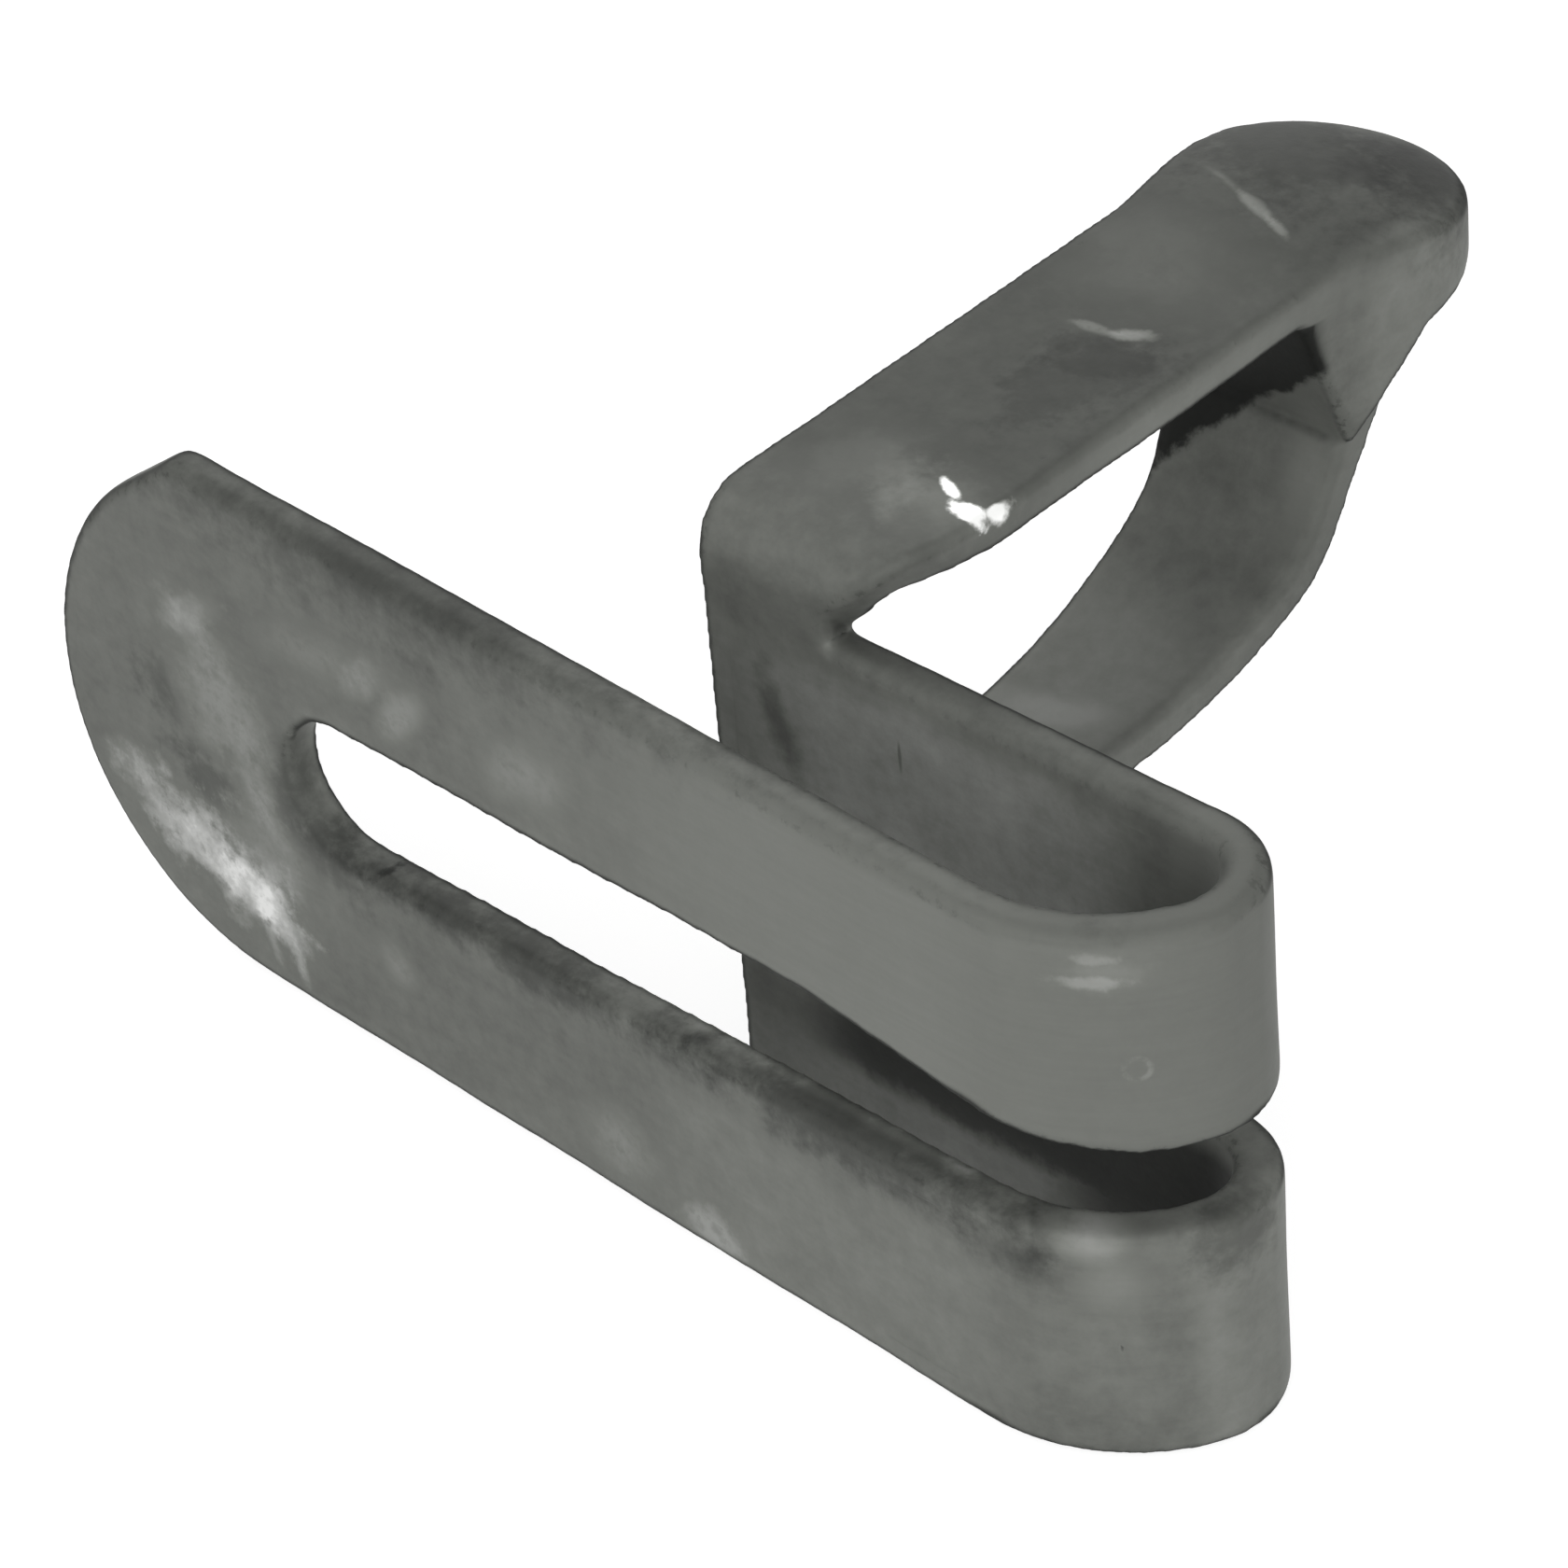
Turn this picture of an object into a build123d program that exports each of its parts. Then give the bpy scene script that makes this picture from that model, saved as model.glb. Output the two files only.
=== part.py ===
from build123d import *
import os
from math import acos, cos, degrees, radians, sin, sqrt, tan

# Interior trim clip, one strip of spring steel stamped and folded, in millimetres.
# A slotted grip plate runs along the front, turns back at its right end through a wide bend
# and becomes a short bearing plate. A prong is folded off the top edge of the bearing plate
# and doubled back under itself into a bowed spring leg.
# X runs along the plates, Y out of the bearing plate along the prong, Z up.
# The origin is on the far face of the bearing plate, under the prong, half way up the plate.

# Driving dimensions of the sheet and the plates
sheet = 0.8
plate_height = 12.3
board_gap = 3.4
plate_closing_angle = 2.5
bearing_length = 12.05
grip_length = 21.05
edge_round = 0.2

# Bend at the right end: inner radii, tight behind and wide in front
bend_back_radius = 1.1
bend_front_radius = 3.4

# Rounded left end of the grip plate
end_slope_angle = 38
end_slope_length = 2.15
end_upper_radius = 7.2

# Slot that leaves an upper and a lower band
slot_end_from_corner = 4.2
upper_band_at_end = 4.48
upper_band_at_shoulder = 4.12
upper_band_at_bend = 4.95
shoulder_before_bend = 4.0
shoulder_into_bend = 3.0
lower_band_at_end = 4.5
lower_band_at_bend = 5.35
slot_end_from_bearing_edge = 8.4
slot_back_depth = 2.3
slot_end_rounding = 0.96
slot_kink_radius = 12

# Prong: root bend, level upper leg and the rounded neck that narrows its root
prong_width = 4.8
root_bend_radius = 0.45
root_rise = 0.85
upper_leg_reach = 11.5
neck_narrowing = 1.8
neck_length = 3.0

# Head of the prong, where the strip is doubled over and pressed together
head_width = 5.7
head_reach = 17.35
head_crest_rise = 0.35
head_crest_place = 12.6
head_shoulder_place = 14.3
head_dome_radius = 10.5
head_under_rise = 7
head_under_drop = 2.24

# Bowed spring leg under the upper leg
spring_leg_angle = 120
spring_leg_straight = 4.45
throat_depth = 2.67
elbow_radius = 2.6
elbow_turn = 31
bow_radius = 11
bow_turn = 40.5
spring_leg_waist_width = 4.1
spring_leg_waist_place = 11.4
spring_leg_tail_width = 2.7
spring_leg_lean = 0.2

top = plate_height / 2
half_sheet = sheet / 2
bearing_edge = -prong_width / 2
cut_margin = 1.0
length_tolerance = 0.001
cut_overlap = 0.4

# Plan of the folded strip, drawn along the middle of the sheet from the bearing edge
back_bend = bend_back_radius + sheet
front_bend = bend_front_radius + sheet
outer_depth = board_gap + 2 * sheet
closing = radians(plate_closing_angle)
back_turn = degrees(acos((outer_depth - back_bend - front_bend * cos(closing)) / (front_bend - back_bend)))
front_turn = 180 + plate_closing_angle - back_turn
grip_direction = (-cos(closing), sin(closing))
end_reach = end_slope_length * cos(radians(end_slope_angle)) + end_upper_radius * (
    1 - sin(radians(end_slope_angle))
)

with BuildPart() as plates:
    with BuildSketch(Plane.XY.offset(-top)):
        with BuildLine():
            back_line = Line((bearing_edge, -half_sheet), (bearing_edge + bearing_length, -half_sheet))
            back_arc = JernArc(back_line @ 1, back_line % 1, bend_back_radius + half_sheet, -back_turn)
            front_arc = JernArc(back_arc @ 1, back_arc % 1, bend_front_radius + half_sheet, -front_turn)
            PolarLine(front_arc @ 1, grip_length + end_reach + cut_margin, direction=front_arc % 1)
        trace(line_width=sheet)
    extrude(amount=plate_height)

    # Elevation of the grip plate, from its upper left corner: u to the right, v up
    bend_foot = front_arc @ 1
    corner = Vector(
        bend_foot.X + grip_length * grip_direction[0],
        bend_foot.Y + grip_length * grip_direction[1],
        top,
    )
    elevation = Plane(
        origin=corner,
        x_dir=(cos(closing), -sin(closing), 0),
        z_dir=(-sin(closing), -cos(closing), 0),
    )
    with BuildSketch(elevation):
        with BuildLine():
            slope = PolarLine((0, 0), end_slope_length, angle=180 + end_slope_angle)
            upper_arc = JernArc(slope @ 1, slope % 1, end_upper_radius, 90 - end_slope_angle)
            lower_arc = JernArc(upper_arc @ 1, upper_arc % 1, plate_height + (upper_arc @ 1).Y, 90)
            foot = (lower_arc @ 1).X
            Polyline(
                lower_arc @ 1,
                (foot, -plate_height - cut_margin),
                (-end_reach - 2 * cut_margin, -plate_height - cut_margin),
                (-end_reach - 2 * cut_margin, cut_margin),
                (0, cut_margin),
                (0, 0),
            )
        make_face()
    extrude(amount=2 * sheet, both=True, mode=Mode.SUBTRACT)

    # The long edges of the blank are rounded, from the bearing edge to the left end
    blank_edges = plates.edges().filter_by(Axis.Z, reverse=True)
    fillet(blank_edges.filter_by(lambda edge: abs(edge.length - sheet) > length_tolerance), radius=edge_round)

    # Slot through the grip plate and the front half of the bend
    slot_top = -upper_band_at_end
    slot_foot = lower_band_at_end - plate_height
    slot_end = slot_end_from_corner - (slot_top - slot_foot) / 2
    slot_bend_top = -upper_band_at_bend
    slot_bend_foot = lower_band_at_bend - plate_height
    past_bend = grip_length + outer_depth + front_bend
    with BuildSketch(elevation):
        with BuildLine():
            Polyline(
                (slot_end, slot_foot),
                (grip_length, slot_bend_foot),
                (past_bend, slot_bend_foot),
                (past_bend, slot_bend_top),
                (grip_length + shoulder_into_bend, slot_bend_top),
                (grip_length - shoulder_before_bend, -upper_band_at_shoulder),
                (slot_end, slot_top),
                close=True,
            )
        make_face()
        slot_corners = vertices().sort_by(Axis.X)
        fillet(slot_corners[:2], radius=slot_end_rounding * (slot_top - slot_foot) / 2)
        fillet(slot_corners[2:5], radius=slot_kink_radius)
    extrude(amount=outer_depth - half_sheet - slot_back_depth + cut_overlap, both=True, mode=Mode.SUBTRACT)

    # The slot goes on through the back of the bend and ends in the bearing plate
    back_slot_end = bearing_edge + slot_end_from_bearing_edge
    back_slot_radius = (slot_bend_top - slot_bend_foot) / 2
    with BuildSketch(Plane.XZ):
        with BuildLine():
            ThreePointArc(
                (back_slot_end + back_slot_radius, top + slot_bend_top),
                (back_slot_end, top + (slot_bend_top + slot_bend_foot) / 2),
                (back_slot_end + back_slot_radius, top + slot_bend_foot),
            )
            Polyline(
                (back_slot_end + back_slot_radius, top + slot_bend_foot),
                (past_bend, top + slot_bend_foot),
                (past_bend, top + slot_bend_top),
                (back_slot_end + back_slot_radius, top + slot_bend_top),
            )
        make_face()
    extrude(amount=slot_back_depth, mode=Mode.SUBTRACT)

# Side view of the prong: y along it, z from the top edge of the plates
outer_bend = root_bend_radius + sheet
leg_top = top + root_rise + outer_bend
half_width = prong_width / 2

with BuildPart() as upper_leg:
    with BuildSketch(Plane.YZ):
        with BuildLine():
            root = Line((-half_sheet, top - 2 * edge_round), (-half_sheet, top + root_rise))
            fold = JernArc(root @ 1, root % 1, root_bend_radius + half_sheet, -90)
            Line(fold @ 1, (upper_leg_reach, leg_top - half_sheet))
        trace(line_width=sheet)
    extrude(amount=half_width, both=True)
    # The neck is rounded in from the near edge, seen square to the middle of the root bend
    neck_radius = (neck_narrowing**2 + neck_length**2) / (2 * neck_narrowing)
    neck_view = Plane(origin=(0, 0, top), x_dir=(1, 0, 0), z_dir=(0, -1, 1))
    with BuildSketch(neck_view):
        with BuildLine():
            RadiusArc((half_width - neck_narrowing, 0), (half_width, neck_length), -neck_radius)
            Polyline(
                (half_width, neck_length),
                (half_width + cut_margin, neck_length),
                (half_width + cut_margin, -2 * sheet),
                (half_width - neck_narrowing, -2 * sheet),
                (half_width - neck_narrowing, 0),
            )
        make_face()
    extrude(amount=outer_bend + sheet, both=True, mode=Mode.SUBTRACT)

# Spring leg, drawn along the middle of the sheet from inside the head to its free end
with BuildPart() as spring_leg:
    with BuildSketch(Plane.YZ):
        with BuildLine():
            inward = Vector(-sin(radians(spring_leg_angle)), -cos(radians(spring_leg_angle)))
            leg_start = Vector(head_shoulder_place, leg_top - head_under_drop) + inward * half_sheet
            shank = PolarLine(leg_start, spring_leg_straight, angle=-spring_leg_angle)
            elbow = JernArc(shank @ 1, shank % 1, elbow_radius + half_sheet, -elbow_turn)
            bow = JernArc(elbow @ 1, elbow % 1, bow_radius + half_sheet, -bow_turn)
        trace(line_width=sheet)
    extrude(amount=half_width, both=True)
    tail = (bow @ 1).X
    shank_inner = (shank @ (throat_depth / spring_leg_straight)) + inward * half_sheet
    spring_leg_throat = (shank_inner.X, shank_inner.Y)
    with BuildSketch(Plane.XY.offset(-top)):
        Polygon(
            (-half_width, head_shoulder_place),
            (spring_leg_lean - spring_leg_waist_width / 2, spring_leg_waist_place),
            (-spring_leg_tail_width / 2, tail - cut_margin),
            (spring_leg_tail_width / 2, tail - cut_margin),
            (spring_leg_lean + spring_leg_waist_width / 2, spring_leg_waist_place),
            (half_width, head_shoulder_place),
            align=None,
        )
    extrude(amount=2 * plate_height, mode=Mode.INTERSECT)

# Head: the side view between the two legs and the nose, trimmed to a round nose in plan
with BuildPart() as head:
    mouth = (upper_leg_reach - half_sheet, leg_top - sheet)
    crest_height = leg_top + head_crest_rise
    past_nose = head_reach + cut_margin
    under = (head_shoulder_place, leg_top - head_under_drop)
    chin_height = under[1] + (past_nose - under[0]) * tan(radians(head_under_rise))
    dome_reach = sqrt(head_dome_radius**2 - (head_dome_radius - head_crest_rise) ** 2)
    head_start = head_crest_place - dome_reach - cut_overlap
    with BuildSketch(Plane.YZ):
        with BuildLine():
            Polyline(
                (head_start, crest_height),
                (past_nose, crest_height),
                (past_nose, chin_height),
                under,
                spring_leg_throat,
                mouth,
                (head_start, leg_top - sheet),
                close=True,
            )
        make_face()
    extrude(amount=head_width / 2, both=True)
    nose_radius = head_width / 2
    with BuildSketch(Plane.XY.offset(-top)):
        with BuildLine():
            nose = CenterArc((0, head_reach - nose_radius), nose_radius, 0, 180)
            left_flare = Spline(
                nose @ 1,
                (-half_width, mouth[0]),
                tangents=((0, -1), (0, -1)),
            )
            Polyline(
                (-half_width, mouth[0]),
                (-half_width, head_start),
                (half_width, head_start),
                (half_width, mouth[0]),
            )
            right_flare = Spline(
                (half_width, mouth[0]),
                nose @ 0,
                tangents=((0, 1), (0, 1)),
            )
        make_face()
    extrude(amount=2 * plate_height, mode=Mode.INTERSECT)
    # The top is domed, highest at the crest and falling to the nose, the sides and the upper leg
    with Locations((0, head_crest_place, crest_height - head_dome_radius)):
        Sphere(head_dome_radius, mode=Mode.INTERSECT)

# The whole strip is one piece of steel
with BuildPart() as trim_clip:
    add(plates.part)
    add(upper_leg.part)
    add(head.part)
    add(spring_leg.part)

trim_clip.part.label = "trim_clip"
os.makedirs("parts", exist_ok=True)
export_step(trim_clip.part, "parts/trim_clip.step")
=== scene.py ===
"""A folded spring steel trim clip, dressed in worn, oxide-mottled steel, with light and shade painted into its
colour.
"""

import math

import bmesh
import bpy
from mathutils import Euler, Matrix, Vector, noise


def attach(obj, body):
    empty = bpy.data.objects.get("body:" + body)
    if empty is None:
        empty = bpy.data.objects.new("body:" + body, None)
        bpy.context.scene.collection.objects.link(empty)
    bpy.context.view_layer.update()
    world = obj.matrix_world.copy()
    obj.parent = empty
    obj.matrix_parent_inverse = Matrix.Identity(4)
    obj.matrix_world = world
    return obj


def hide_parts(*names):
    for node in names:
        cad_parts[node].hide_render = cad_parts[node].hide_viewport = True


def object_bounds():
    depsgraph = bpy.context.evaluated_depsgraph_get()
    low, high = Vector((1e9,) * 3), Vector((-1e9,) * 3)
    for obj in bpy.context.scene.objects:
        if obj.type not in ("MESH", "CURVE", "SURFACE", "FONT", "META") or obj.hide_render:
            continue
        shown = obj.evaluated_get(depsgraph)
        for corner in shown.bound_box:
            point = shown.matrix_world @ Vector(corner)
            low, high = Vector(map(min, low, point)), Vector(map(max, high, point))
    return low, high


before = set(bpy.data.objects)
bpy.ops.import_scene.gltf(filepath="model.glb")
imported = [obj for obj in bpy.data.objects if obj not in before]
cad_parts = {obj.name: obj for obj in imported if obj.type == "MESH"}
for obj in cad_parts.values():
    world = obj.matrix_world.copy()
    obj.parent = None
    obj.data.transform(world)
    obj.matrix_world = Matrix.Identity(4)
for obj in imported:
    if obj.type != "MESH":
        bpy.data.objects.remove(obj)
cad_low, cad_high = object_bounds()

MM = 0.001

# Sizes of the rounded skin. Its grain lies aslant, so that no face steps along it
WELD = 0.001 * MM
GRAIN = 0.085 * MM
GRAIN_SLANT = Euler((0.45, 0.7, 0.3)).to_matrix()
WORKING_SCALE = 100
ROUNDING_PASSES = 18
MOST_TRIANGLES = 180000
FULLNESS = 0.06 * MM
WAVE_LENGTH = 3.2 * MM
WAVE_DEPTH = 0.03 * MM

# The wide bend as one plain round in mm, seen from above: its centre, its radius to the sheet's middle, and
# how far from there the sheet's two halves blend. The grip plate's slope is its closing angle of 2.5 degrees
BEND_CENTRE_X = 8.15
BEND_CENTRE_Y = -1.6
BEND_MIDDLE = 3.0
MIDDLE_BLEND = 0.15
GRIP_SLOPE = 0.0437

# Painted shade: edges about square to this side, which is the camera's side, are darkened into dark outlines,
# less so those that face it or face away; dark flecks keep off edges that face it
OUTLINE_SIDE = Vector((0.57, -0.55, 0.61))

# The steel's colour at a lightness of 0, 0.2 and 1, the plain steel's lightness, its gloss and its fine bumps
STEEL_TONES = [(0.0, (0.004, 0.0045, 0.004)), (0.2, (0.196, 0.203, 0.186)), (1.0, (0.97, 0.975, 0.96))]
PLAIN_GREY = 0.158
GLOSS = 0.2
BUMP_DEPTH = 0.05 * MM

# A pale stain's depth in mm, less than the sheet is thick, and its softness. The small ring's place on the bend
STAIN_DEPTH = 0.6
STAIN_SOFTNESS = 0.8
RING_CENTRE = (10.58, -3.82, 3.22)

# The photograph's camera: its angle, what it looks at and from how far, and how far it is lowered
LOOK_AZIMUTH = math.radians(45.837)
LOOK_ELEVATION = math.radians(37.606)
LOOK_ROLL = math.radians(5.395)
LOOK_AT = Vector((-4.02, 2.43, -1.08)) * MM
LOOK_DISTANCE = 132.7 * MM
LOOK_DOWN = 0.10 * MM
LENS = 154.97
SENSOR = 36
NEAREST_SEEN = 0.005
FARTHEST_SEEN = 20

# Studio levels, where 1 shows a colour as it is written
SKY_LEVEL = 0.42
KEY_LEVEL = 0.72
RIM_LEVEL = 0.08
FLOOR_GREY = 0.55
FLOOR_GLOW = 0.78
WHITE = (1, 1, 1, 1)

# The floor and two square soft lights, which stand round the point that the camera looks at, in metres
FLOOR_HALF_WIDTH = 1.5
FLOOR_DROP = 0.02 * MM
LIGHT_DISTANCE = 0.30
KEY_SIDE = (0.60, -0.74, 0.30)
KEY_SIZE = 0.28
RIM_SIDE = (-0.6, 0.5, 0.6)
RIM_SIZE = 0.16


class Wire:
    """A value in a node tree. Arithmetic on it adds the Math nodes that work it out."""

    def __init__(self, tree, socket):
        self.tree = tree
        self.socket = socket

    def math(self, operation, *values):
        return self.tree.add("ShaderNodeMath", {"operation": operation}, dict(enumerate(values)))

    def __add__(self, other):
        return self.math("ADD", self, other)

    def __radd__(self, other):
        return self.math("ADD", other, self)

    def __sub__(self, other):
        return self.math("SUBTRACT", self, other)

    def __rsub__(self, other):
        return self.math("SUBTRACT", other, self)

    def __mul__(self, other):
        return self.math("MULTIPLY", self, other)

    def __rmul__(self, other):
        return self.math("MULTIPLY", other, self)

    def __pow__(self, other):
        return self.math("POWER", self, other)

    def either(self, other):
        """The larger of two values, so that of two masks either may be set."""
        return self.math("MAXIMUM", self, other)

    def lesser(self, other):
        """The smaller of two values."""
        return self.math("MINIMUM", self, other)

    def times_plus(self, factor, addend):
        """This value times a factor, plus another value, in one node."""
        return self.math("MULTIPLY_ADD", self, factor, addend)

    def length(self):
        """The length of a vector."""
        return self.tree.add("ShaderNodeVectorMath", {"operation": "LENGTH"}, {0: self}, "Value")

    def step(self, low, high, start=0.0, end=1.0):
        """Rises smoothly from start to end while the value goes from low to high."""
        ends = {"Value": self, "From Min": low, "From Max": high, "To Min": start, "To Max": end}
        return self.tree.add("ShaderNodeMapRange", {"interpolation_type": "SMOOTHSTEP"}, ends)


class Tree:
    """The nodes of one material or of the world."""

    def __init__(self, owner):
        owner.use_nodes = True
        self.nodes = owner.node_tree.nodes
        self.links = owner.node_tree.links
        self.nodes.clear()

    def add(self, kind, settings=None, inputs=None, output=0):
        """Adds a node, sets it, joins or fills its sockets, and gives back one of its outputs."""
        node = self.nodes.new(kind)
        for name, value in (settings or {}).items():
            if name == "stops":
                self.set_stops(node.color_ramp, value)
            else:
                setattr(node, name, value)
        for key, value in (inputs or {}).items():
            if isinstance(value, Wire):
                self.links.new(value.socket, node.inputs[key])
            else:
                node.inputs[key].default_value = value
        return Wire(self, node.outputs[output]) if node.outputs else None

    def set_stops(self, ramp, stops):
        while len(ramp.elements) < len(stops):
            ramp.elements.new(0.5)
        for element, (place, color) in zip(ramp.elements, stops):
            element.position = place
            element.color = (*color, 1)


def after_modifier(mesh, kind, settings):
    """The mesh that one modifier makes of another."""
    holder = bpy.data.objects.new(mesh.name, mesh)
    bpy.context.scene.collection.objects.link(holder)
    modifier = holder.modifiers.new(kind, kind)
    for name, value in settings.items():
        setattr(modifier, name, value)
    shaped = bpy.data.meshes.new_from_object(holder.evaluated_get(bpy.context.evaluated_depsgraph_get()))
    bpy.data.objects.remove(holder)
    return shaped


def even_grain(cad):
    """The clip's own shape, enlarged and set aslant, in faces of one size."""
    form = bmesh.new()
    form.from_mesh(cad.data)
    bmesh.ops.remove_doubles(form, verts=form.verts, dist=WELD)
    bmesh.ops.scale(form, vec=Vector((1, 1, 1)) * WORKING_SCALE, verts=form.verts)
    bmesh.ops.rotate(form, cent=Vector(), matrix=GRAIN_SLANT, verts=form.verts)
    blank = bpy.data.meshes.new("clip_blank")
    form.to_mesh(blank)
    form.free()
    return after_modifier(blank, "REMESH", {"mode": "VOXEL", "voxel_size": GRAIN * WORKING_SCALE})


def rounded_over(even):
    """The shape set straight, with its edges rounded and fewer faces.

    Its layer edge says how far a point stands out from its neighbours.
    """
    form = bmesh.new()
    form.from_mesh(even)
    for _ in range(ROUNDING_PASSES):
        bmesh.ops.smooth_vert(
            form, verts=form.verts, factor=0.5, use_axis_x=True, use_axis_y=True, use_axis_z=True
        )
    bmesh.ops.rotate(form, cent=Vector(), matrix=GRAIN_SLANT.transposed(), verts=form.verts)
    form.normal_update()
    edge = form.verts.layers.float.new("edge")
    for vert in form.verts:
        around = sum((link.other_vert(vert).co for link in vert.link_edges), Vector()) / len(vert.link_edges)
        vert[edge] = (vert.co - around).dot(vert.normal) / (GRAIN * WORKING_SCALE)
    form.to_mesh(even)
    form.free()
    return after_modifier(even, "DECIMATE", {"ratio": MOST_TRIANGLES / (2 * len(even.polygons))})


def rounded_skin(cad):
    """The clip's own shape with its stamped edges rounded over and its faces faintly uneven."""
    form = bmesh.new()
    form.from_mesh(rounded_over(even_grain(cad)))
    bmesh.ops.scale(form, vec=Vector((1, 1, 1)) / WORKING_SCALE, verts=form.verts)
    form.normal_update()
    turned = form.verts.layers.float.new("turned")
    for vert in form.verts:
        swell = FULLNESS + WAVE_DEPTH * noise.noise(vert.co / WAVE_LENGTH)
        moved = vert.co + vert.normal * swell
        # How far each point faces the camera's side, which sets the painted outline shade
        vert[turned] = vert.normal.dot(OUTLINE_SIDE)
        vert.co = [min(max(at, low), high) for at, low, high in zip(moved, cad_low, cad_high)]
    for face in form.faces:
        face.smooth = True
    mesh = bpy.data.meshes.new("clip_skin")
    form.to_mesh(mesh)
    form.free()
    skin = bpy.data.objects.new("clip_skin", mesh)
    bpy.context.scene.collection.objects.link(skin)
    return skin


class Steel(Tree):
    """Worn spring steel. All its places, steps along x, y and z, and sizes are in millimetres on the clip."""

    def __init__(self, material):
        super().__init__(material)
        object_place = self.add("ShaderNodeTexCoord", output="Object")
        in_mm = {0: object_place, "Scale": 1 / MM}
        self.place = self.add("ShaderNodeVectorMath", {"operation": "SCALE"}, in_mm)
        axes = self.add("ShaderNodeSeparateXYZ", inputs={0: self.place}).socket.node
        self.x = Wire(self, axes.outputs["X"])
        self.y = Wire(self, axes.outputs["Y"])
        self.z = Wire(self, axes.outputs["Z"])
        self.clouds = self.soft_noise(0.22, detail=5, roughness=0.6)
        self.blotches = self.soft_noise(0.75, detail=5, roughness=0.62)
        self.crumbs = self.soft_noise(2.6, detail=4, roughness=0.65)
        self.dust = self.soft_noise(9.0, detail=3, roughness=0.6)
        self.blotchy = self.blotches - 0.5
        self.crumbly = self.crumbs - 0.5
        self.raggedness = self.blotchy * 3.2 + self.crumbly * 2.0
        self.mottle = (self.clouds - 0.5) * 0.12 + self.blotchy * 0.12 + self.crumbly * 0.07

    def soft_noise(self, scale, detail, roughness, place=None):
        """A soft noise of about one swell for each 1/scale mm, from 0 to 1."""
        inputs = {"Vector": place or self.place, "Scale": scale, "Detail": detail, "Roughness": roughness}
        return self.add("ShaderNodeTexNoise", None, inputs)

    def stretched(self, amounts):
        """The place in mm, squeezed by these amounts along each axis."""
        inputs = {"Vector": self.place, "Scale": amounts}
        return self.add("ShaderNodeMapping", {"vector_type": "POINT"}, inputs)

    def reach(self, centre, size=(1, 1, 1), turn=(0, 0, 0)):
        """The distance from a centre in mm, in which a turned ellipsoid of this size has its rim at 1."""
        angles = tuple(math.radians(angle) for angle in turn)
        inputs = {"Vector": self.place, "Location": centre, "Rotation": angles, "Scale": size}
        return self.add("ShaderNodeMapping", {"vector_type": "TEXTURE"}, inputs).length()

    def spot(self, centre, size, turn, soft, ragged, outside=0.0, inside=1.0):
        """A patch with a ragged and soft rim: one value outside it, another inside."""
        uneven = self.raggedness.times_plus(ragged, self.reach(centre, size, turn))
        return uneven.step(1.0 + soft * 0.3, 1.0 - soft, outside, inside)

    def added_light(self, marks):
        """The lightness that a list of marks adds."""
        total = 0.0
        for centre, size, turn, amount, soft, ragged in marks:
            total = self.spot(centre, size, turn, soft, ragged, 0.0, amount) + total
        return total


def pale_oxide(steel):
    """Pale oxide on the grip plate: the lightness that it adds."""
    patches = [
        # The stain low down at the left end
        ((-15.6, -4.0, -3.0), (1.1, 0.75), 10, 0.20, 0.9),
        ((-14.4, -4.05, -3.3), (1.7, 1.15), 17, 0.26, 0.9),
        ((-13.1, -4.1, -3.75), (1.7, 1.3), 22, 0.31, 0.8),
        ((-12.9, -4.1, -3.8), (0.9, 0.8), 25, 0.30, 0.8),
        ((-11.8, -4.15, -4.4), (0.9, 0.75), 40, 0.26, 0.9),
        ((-12.1, -4.1, -2.6), (1.6, 1.6), 20, 0.09, 0.9),
        ((-12.4, -4.1, -4.9), (0.25, 0.8), -15, 0.20, 0.8),
        ((-11.6, -4.15, -5.0), (0.22, 0.7), -15, 0.18, 0.8),
        ((-16.0, -3.97, -2.35), (1.0, 0.55), -10, 0.09, 0.8),
        # Thin haze above the stain
        ((-13.5, -4.1, 2.7), (1.15, 0.45), -33, 0.12, 0.4),
        ((-12.8, -4.1, 0.8), (1.35, 2.5), -22, 0.13, 0.8),
        ((-12.2, -4.1, -0.8), (0.9, 1.3), -10, 0.07, 0.8),
        # Pale spots on the upper band
        ((-9.4, -4.3, 3.5), (1.9, 0.7), -10, 0.06, 0.8),
        ((-8.4, -4.3, 3.5), (0.8, 0.45), -48, 0.10, 0.35),
        ((-7.3, -4.35, 3.1), (1.15, 0.45), -48, 0.11, 0.35),
        ((-4.1, -4.5, 3.4), (1.15, 0.65), -48, 0.06, 0.4),
        ((-3.2, -4.5, 3.5), (1.05, 0.6), -48, 0.05, 0.4),
        # Pale spots on the lower band
        ((-2.1, -4.6, -4.8), (1.1, 1.0), 0, 0.09, 0.8),
        ((0.4, -4.7, -5.6), (1.1, 0.55), 0, 0.18, 0.8),
        ((-8.4, -4.3, -3.5), (0.6, 0.7), -20, 0.08, 0.6),
    ]
    marks = [
        (centre, (width, STAIN_DEPTH, height), (0, tilt, 0), amount, STAIN_SOFTNESS, ragged)
        for centre, (width, height), tilt, amount, ragged in patches
    ]
    return steel.added_light(marks) * steel.crumbs.step(0.32, 0.6, 0.6, 1.1)


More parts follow.
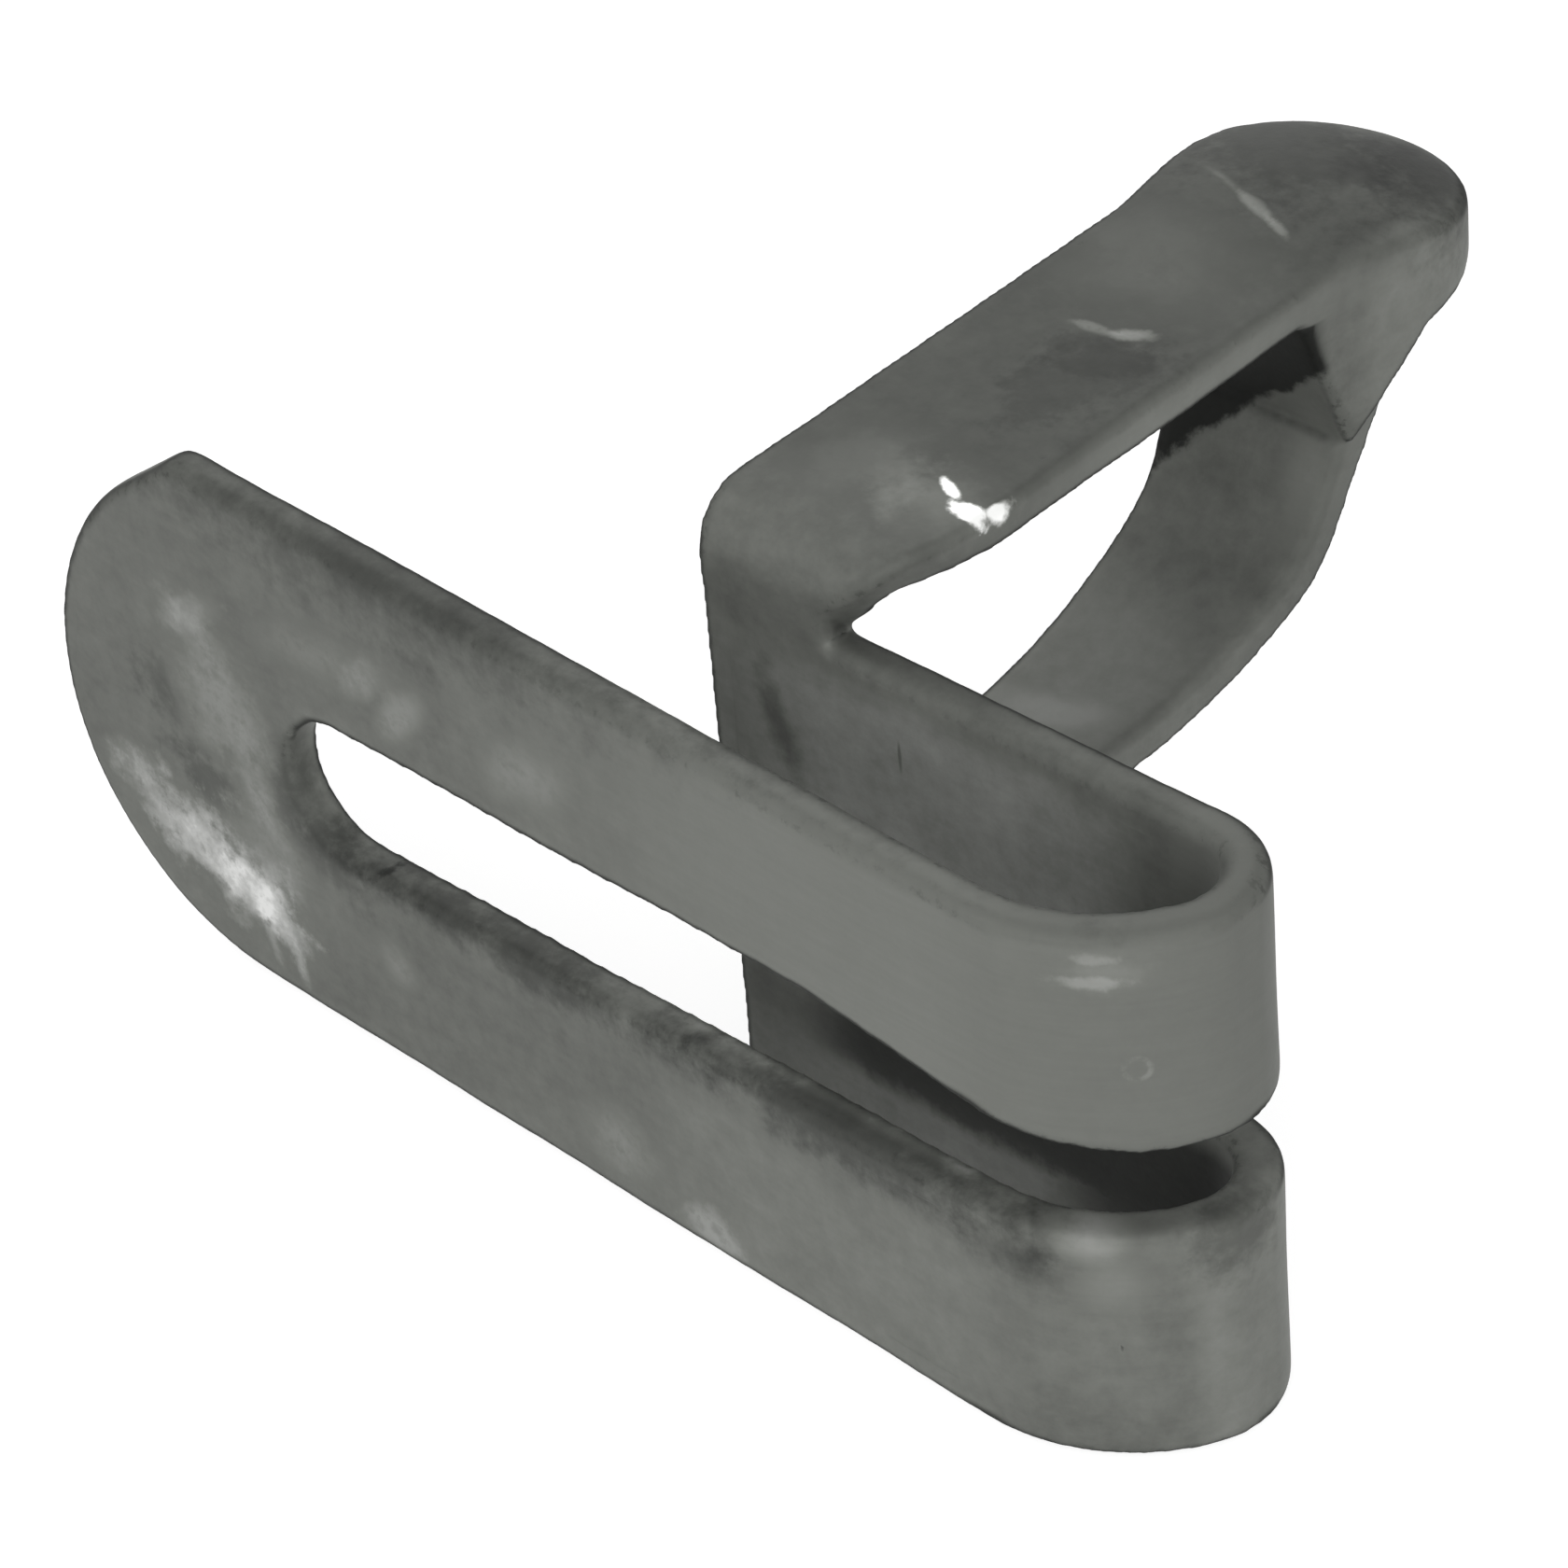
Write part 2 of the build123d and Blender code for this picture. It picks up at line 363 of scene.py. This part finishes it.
def scratches_and_painted_highlights(steel):
    """Scratches, streaks, worn places, painted highlights and painted light: the lightness that they add."""
    marks = [
        # Painted highlight on the lower band at the bend
        ((9.6, -4.3, -0.9), (0.8, 0.75, 0.5), (0, 0, 0), 0.15, 0.9, 0.3),
        ((10.0, -4.2, -1.8), (0.75, 0.75, 0.75), (0, 0, 0), 0.06, 1.0, 0.4),
        # Painted highlight streaks on the upper band at the bend
        ((10.1, -4.15, 5.72), (0.6, 0.5, 0.12), (0, 0, 38), 0.07, 0.9, 1.0),
        ((10.3, -4.05, 5.45), (0.9, 0.5, 0.45), (0, 0, 38), 0.05, 1.0, 0.6),
        ((10.0, -4.2, 5.2), (0.85, 0.5, 0.13), (0, 0, 38), 0.09, 0.9, 1.0),
        # Scratches on top of the prong
        ((0.0, 7.75, 8.25), (0.75, 0.16, 0.6), (0, 0, 8), 0.12, 0.8, 0.8),
        ((0.75, 8.0, 8.25), (0.45, 0.2, 0.6), (0, 0, 30), 0.2, 0.8, 0.8),
        ((-1.1, 12.9, 8.5), (0.9, 0.14, 0.6), (0, 0, -20), 0.09, 0.8, 0.7),
        ((0.0, 12.5, 8.57), (0.8, 0.17, 0.6), (0, 0, -21), 0.17, 0.8, 0.7),
        ((0.9, 12.15, 8.5), (0.45, 0.13, 0.6), (0, 0, -24), 0.14, 0.8, 0.7),
        ((1.1, 14.1, 8.35), (0.2, 0.7, 0.6), (0, 0, 20), 0.05, 0.9, 0.9),
        # Wide lighter places on the prong: worn places, and painted light on sides that face the key light
        ((-0.4, 10.0, 8.3), (1.9, 1.6, 0.6), (0, 0, 0), 0.035, 0.9, 0.8),
        # Painted light along the leg's near side edge
        ((2.6, 7.4, 7.8), (0.5, 5.4, 0.8), (0, 0, 0), 0.06, 0.8, 0.2),
        ((-0.4, 2.0, 8.2), (1.6, 1.3, 0.6), (0, 0, 0), 0.05, 0.9, 0.7),
        ((-0.1, 5.9, 0.3), (1.4, 0.6, 0.6), (0, 0, 25), 0.08, 0.8, 0.5),
        # Painted light on the spring leg's near side
        ((1.8, 11.6, 3.6), (0.7, 1.4, 1.6), (0, 0, 0), 0.06, 0.9, 0.7),
    ]
    return steel.added_light(marks)


def sheet_inside(steel):
    """1 on the half of the sheet that faces the gap between the plates, 0 elsewhere."""
    past_bend = steel.x - BEND_CENTRE_X
    along = past_bend.either(0.0)
    across = steel.y - BEND_CENTRE_Y + past_bend.lesser(0.0) * GRIP_SLOPE
    from_bend = (along * along + across * across) ** 0.5
    inner_half = from_bend.step(BEND_MIDDLE + MIDDLE_BLEND, BEND_MIDDLE - MIDDLE_BLEND)
    return inner_half * steel.y.step(-0.4, -0.7)


def head_mouth(steel, uneven):
    """Painted shadow: 1 in the black mouth behind the head, where the spring leg comes back under the leg."""
    above_lip = (steel.z - steel.x * 0.85 + uneven).step(3.9, 4.2)
    inside_leg = (steel.y - steel.z.lesser(3.8) * 0.58).step(10.35, 10.15)
    mouth = above_lip * inside_leg * steel.y.step(8.9, 9.6) * steel.z.step(7.44, 7.36)
    return mouth * steel.y.step(11.45, 11.3).either(steel.x.step(2.5, 2.4))


def slot_shade(steel, uneven):
    """1 behind the slot and low down in the bend, where the gap between the plates is darkest."""
    far_right = steel.x.step(4.8, 7.4)
    under_band = (steel.z + uneven).step(-4.2, -3.6).either(far_right)
    return steel.z.step(-0.9, -1.6) * steel.x.step(-1.0, 1.0) * under_band


def lit_wall(steel, inner_walls):
    """The bearing plate's inner wall, where light falls into the gap from above and through below."""
    open_wall = inner_walls * steel.x.step(8.6, 6.4) * steel.x.step(-1.8, 0.6, 0.35, 1.0)
    open_wall = open_wall * steel.z.step(6.3, 5.0)
    return open_wall * steel.z.step(-1.6, -0.9) + open_wall * steel.z.step(-3.2, -4.2)


def dark_marks_and_painted_shade(steel, inner_walls):
    """Dark patches, painted shade and painted shadow, and painted light on the bearing plate's inner wall: the
    share of light that they leave.
    """
    marks = [
        # The dark patch on top of the prong
        ((0.9, 6.2, 8.25), (1.3, 1.9, 0.6), (0, 0, -15), 0.20, 0.45, 0.6),
        ((0.5, 7.05, 8.25), (1.2, 0.75, 0.6), (0, 0, 12), 0.20, 0.25, 0.4),
        # The bearing plate's inner face
        ((-0.65, -0.8, 3.9), (0.42, 0.5, 1.5), (0, -15, 0), 0.50, 0.9, 0.3),
        ((2.45, -0.8, 4.5), (0.05, 0.5, 0.4), (0, 0, 0), 0.45, 0.6, 0.1),
        # The head
        ((-1.0, 15.0, 8.4), (3.2, 2.6, 0.9), (0, 0, -22), 0.36, 0.5, 0.4),
        ((1.3, 15.9, 7.8), (2.8, 1.9, 1.3), (0, 0, -25), 0.55, 0.8, 0.4),
        # Painted shade along the upper band's upward-facing top edge
        ((-8.0, -4.2, 6.2), (8.5, 1.2, 1.4), (0, 0, 0), 0.40, 1.0, 0.4),
        ((4.0, -4.0, 6.2), (6.5, 0.6, 0.6), (0, 0, 0), 0.28, 1.0, 0.7),
        # Painted shade round the slot's left end, with a dark patch left of it
        ((-14.9, -4.0, 0.2), (0.75, 0.9, 0.85), (0, 0, 0), 0.36, 0.9, 0.6),
        ((-13.5, -4.1, -1.6), (1.35, 0.9, 0.8), (0, 15, 0), 0.36, 0.6, 0.7),
        ((-11.2, -4.1, -0.7), (0.8, 1.2, 1.9), (0, -15, 0), 0.42, 0.9, 0.5),
        # Painted shade along the lower band's top edge, under the upper band, with dark patches near the bend
        ((-9.9, -4.1, -1.9), (1.2, 1.2, 0.7), (0, 25, 0), 0.34, 0.9, 0.5),
        ((-5.0, -4.2, -1.5), (6.5, 1.2, 0.55), (0, 0, 0), 0.50, 0.8, 0.5),
        ((-8.6, -4.1, -1.3), (0.14, 0.6, 0.22), (0, 0, 0), 0.70, 0.6, 0.9),
        ((4.2, -4.6, -1.0), (5.2, 1.2, 0.9), (0, 0, 0), 0.45, 0.7, 0.5),
        ((8.2, -4.9, -1.6), (1.2, 0.9, 0.65), (0, 0, 0), 0.38, 0.9, 0.4),
        ((11.4, -2.3, -1.2), (0.9, 1.2, 1.1), (0, 0, 0), 0.42, 0.8, 0.5),
    ]
    light_left = 1.0
    for centre, size, turn, amount, soft, ragged in marks:
        light_left = steel.spot(centre, size, turn, soft, ragged, 1.0, 1.0 - amount) * light_left
    uneven = steel.raggedness * 0.28
    # Painted shadow in the head's mouth, painted shade deep in the gap, and painted light on the bearing
    # plate's inner wall
    mouth = head_mouth(steel, uneven)
    shade = slot_shade(steel, uneven)
    in_light = lit_wall(steel, inner_walls)
    return light_left * (1 - mouth * 0.92) * (1 - inner_walls * shade * 0.75) * (1 + in_light * 0.85)


def plain_grey(steel, outer_side):
    """The mottled steel, smoother on the upper band, faintly brushed, and darker on top of the prong, partly
    from a darker patina and partly as painted shade.
    """
    smooth_band = steel.x.step(-7.0, 3.0) * steel.z.step(-0.2, 1.2) * outer_side
    lightness = PLAIN_GREY + steel.mottle * (1 - smooth_band * 0.75) + (steel.dust - 0.5) * 0.012
    lightness = lightness + smooth_band * steel.x.step(11.0, 6.0, 0.012, 0.045)
    brushed = steel.soft_noise(3.2, 3, 0.6, steel.stretched((0.12, 0.12, 2.0)))
    lightness = lightness * brushed.step(0.2, 0.8, 0.97, 1.03)
    # Darker on top of the prong: partly a darker patina, partly painted shade
    prong_top = steel.y.step(-0.3, 2.5) * steel.z.step(7.0, 8.0) * steel.x.step(2.6, 2.2)
    return lightness * (1 - prong_top * 0.34)


def lighter_zones(steel, outer_side):
    """Wide zones a little lighter than the plain steel, with painted light on the nose's side and the right end
    face, which face the key light: the lightness that they add.
    """
    # Painted light on the nose's side, which faces the key light
    nose_side = steel.y.step(12.0, 13.2) * steel.x.step(1.9, 2.6) * steel.z.step(8.3, 7.5)
    leg_foot = steel.y.step(2.5, 5.0) * steel.y.step(10.5, 8.0) * steel.z.step(3.2, 2.0)
    low_right = outer_side * steel.x.step(-3.0, 2.0) * steel.x.step(9.0, 6.5) * steel.z.step(-1.5, -2.5)
    # Painted light on the right end face, which faces the key light
    end_face = steel.x.step(10.9, 11.4) * steel.z.step(1.0, -1.0)
    return nose_side * 0.05 + leg_foot * 0.055 + low_right * 0.04 + end_face * 0.05


def small_ring(steel):
    """The small pale ring on the bend: the lightness that it adds."""
    distance = steel.reach(RING_CENTRE)
    ring = distance.step(0.16, 0.22) * distance.step(0.33, 0.26)
    return ring * steel.crumbs.step(0.3, 0.6) * 0.07


def shaded_edges_and_grime(steel, lightness, inner_walls):
    """The lightness once the stamped edges are darkened, and the mask of the edges: dark flecks on the rims,
    but not on those that face the camera's side, painted shade as dark outlines on rims about square to that
    side, and painted shade in the creases and hollows.
    """
    edge = steel.add("ShaderNodeAttribute", {"attribute_name": "edge"}, output="Fac")
    turned = steel.add("ShaderNodeAttribute", {"attribute_name": "turned"}, output="Fac")
    rim = edge.step(0.015, 0.045)
    gap_side = inner_walls * steel.x.step(-3.0, -1.0)
    outline_shade = turned.step(0.6, 0.25) * turned.step(-0.45, -0.05) * (1 - gap_side * 0.75)
    flecks = steel.soft_noise(4.5, 3, 0.7).step(0.5, 0.66)
    lightness = lightness * (1 - rim * (0.04 + flecks * turned.step(0.85, 0.6) * 0.35))
    # Painted shade: dark outlines on rims about square to the camera's side, weaker on the gap's side
    lightness = lightness * (1 - rim * outline_shade * 0.85)
    # Painted shade in the creases and hollows
    crease_shade = edge.step(-0.01, -0.04)
    return lightness * (1 - crease_shade * 0.45), rim


def neck_glint(steel):
    """The painted highlight on the neck: the mask of its bright glint and that of the paler painted glow round
    it.
    """
    glint = steel.spot((2.05, 1.88, 8.2), (0.55, 0.3, 0.5), (0, 0, 0), 0.35, 0.5)
    arm = steel.spot((2.35, 2.3, 8.2), (0.16, 0.42, 0.4), (0, 0, 0), 0.4, 0.4)
    streak = steel.spot((1.3, 2.2, 8.2), (0.5, 0.15, 0.5), (0, 0, -25), 0.4, 0.4)
    glint_glow = steel.spot((1.5, 1.9, 8.2), (1.7, 1.1, 0.6), (0, 0, 0), 0.95, 0.5)
    return glint.either(streak).either(arm), glint_glow


def fine_bumps(steel):
    """The normal of the steel's fine unevenness."""
    height = steel.blotches * 0.5 + steel.crumbs * 0.35 + steel.dust * 0.15
    return steel.add("ShaderNodeBump", None, {"Strength": 0.4, "Distance": BUMP_DEPTH, "Height": height})


def worn_steel_and_painted_light(material):
    """Dull grey spring steel: mottled, stained, scuffed, and darker along its stamped edges, with painted
    shade, painted shadow, painted light and painted highlights in its colour.
    """
    steel = Steel(material)
    outer_side = steel.y.step(-2.0, -3.0).either(steel.x.step(8.5, 9.5))
    lightness = plain_grey(steel, outer_side)
    lighter = lighter_zones(steel, outer_side)
    inner_walls = sheet_inside(steel)
    lightness = (lightness + lighter + scratches_and_painted_highlights(steel)) * dark_marks_and_painted_shade(steel, inner_walls)
    oxide = pale_oxide(steel)
    lightness = lightness + oxide
    lightness = lightness + small_ring(steel)
    lightness, rim = shaded_edges_and_grime(steel, lightness, inner_walls)
    glint_mask, glint_glow = neck_glint(steel)
    # Painted highlight on the neck: its glint, also made more metallic and glossier below, and its paler glow
    lightness = lightness + glint_glow * 0.10 + glint_mask * 0.8
    color = steel.add("ShaderNodeValToRGB", {"stops": STEEL_TONES}, {"Fac": lightness})
    powder = oxide.step(0.0, 0.3)
    look = {
        "Base Color": color,
        "Metallic": 0.45 - powder * 0.35 + glint_mask * 0.5,
        "Roughness": 0.6 + steel.blotchy * 0.22 + powder * 0.2 + rim * 0.15 - glint_mask * 0.35,
        "Normal": fine_bumps(steel),
        "Specular IOR Level": GLOSS,
    }
    shader = steel.add("ShaderNodeBsdfPrincipled", None, look)
    steel.add("ShaderNodeOutputMaterial", None, {"Surface": shader})


def seen_rays(tree):
    """1 on rays from the camera and on those that metal or glass mirrors, 0 on other rays."""
    camera = tree.add("ShaderNodeLightPath", output="Is Camera Ray")
    path = camera.socket.node
    glossy = Wire(tree, path.outputs["Is Glossy Ray"])
    through = Wire(tree, path.outputs["Is Transmission Ray"])
    return camera.either(glossy).either(through)


def white_surroundings(world):
    """Seen white by the camera and in the metal, and a weaker even light on the clip."""
    sky = Tree(world)
    strength = seen_rays(sky) * (1 - SKY_LEVEL) + SKY_LEVEL
    background = sky.add("ShaderNodeBackground", None, {"Color": WHITE, "Strength": strength})
    sky.add("ShaderNodeOutputWorld", None, {"Surface": background})


def pale_floor(height):
    """A plain pale floor just under the clip, which keeps its shadow."""
    form = bmesh.new()
    bmesh.ops.create_grid(form, x_segments=1, y_segments=1, size=FLOOR_HALF_WIDTH)
    bmesh.ops.translate(form, vec=(0, 0, height), verts=form.verts)
    mesh = bpy.data.meshes.new("floor")
    form.to_mesh(mesh)
    form.free()
    floor = bpy.data.objects.new("floor", mesh)
    bpy.context.scene.collection.objects.link(floor)
    material = bpy.data.materials.new("pale floor")
    surface = Tree(material)
    matt = surface.add("ShaderNodeBsdfDiffuse", None, {"Color": (FLOOR_GREY, FLOOR_GREY, FLOOR_GREY, 1)})
    glow_ends = {"Color": WHITE, "Strength": seen_rays(surface) * FLOOR_GLOW}
    glow = surface.add("ShaderNodeEmission", None, glow_ends)
    both = surface.add("ShaderNodeAddShader", None, {0: matt, 1: glow})
    surface.add("ShaderNodeOutputMaterial", None, {"Surface": both})
    mesh.materials.append(material)


def soft_light(name, side, size, level):
    """A square soft light whose level, times the cosine at a face, is what it gives that face."""
    lamp = bpy.data.lights.new(name, "AREA")
    lamp.shape = "SQUARE"
    lamp.size = size
    lamp.energy = level * math.pi ** 2 * LIGHT_DISTANCE ** 2
    light = bpy.data.objects.new(name, lamp)
    direction = Vector(side).normalized()
    turn = direction.to_track_quat("Z", "Y").to_matrix().to_4x4()
    light.matrix_world = Matrix.Translation(LOOK_AT + direction * LIGHT_DISTANCE) @ turn
    bpy.context.scene.collection.objects.link(light)


def photograph_camera():
    """The camera where the photograph was taken from."""
    forward = Vector((
        -math.cos(LOOK_ELEVATION) * math.sin(LOOK_AZIMUTH),
        math.cos(LOOK_ELEVATION) * math.cos(LOOK_AZIMUTH),
        -math.sin(LOOK_ELEVATION),
    ))
    level = Vector((math.cos(LOOK_AZIMUTH), math.sin(LOOK_AZIMUTH), 0))
    upright = level.cross(forward)
    up = upright * math.cos(LOOK_ROLL) + level * math.sin(LOOK_ROLL)
    right = level * math.cos(LOOK_ROLL) - upright * math.sin(LOOK_ROLL)
    turn = Matrix((right, up, -forward)).transposed().to_4x4()
    data = bpy.data.cameras.new("camera")
    data.lens = LENS
    data.sensor_width = SENSOR
    data.clip_start = NEAREST_SEEN
    data.clip_end = FARTHEST_SEEN
    camera = bpy.data.objects.new("camera", data)
    camera.matrix_world = Matrix.Translation(LOOK_AT - forward * LOOK_DISTANCE - up * LOOK_DOWN) @ turn
    bpy.context.scene.collection.objects.link(camera)
    bpy.context.scene.camera = camera


skin = rounded_skin(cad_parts["trim_clip"])
steel_finish = bpy.data.materials.new("worn spring steel and painted light")
worn_steel_and_painted_light(steel_finish)
skin.data.materials.append(steel_finish)
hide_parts("trim_clip")
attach(skin, "root")

bpy.context.scene.world = bpy.data.worlds.new("white studio")
white_surroundings(bpy.context.scene.world)
pale_floor(cad_low.z - FLOOR_DROP)
soft_light("key light", KEY_SIDE, KEY_SIZE, KEY_LEVEL)
soft_light("rim light", RIM_SIDE, RIM_SIZE, RIM_LEVEL)
photograph_camera()
bpy.context.scene.view_settings.view_transform = "Standard"
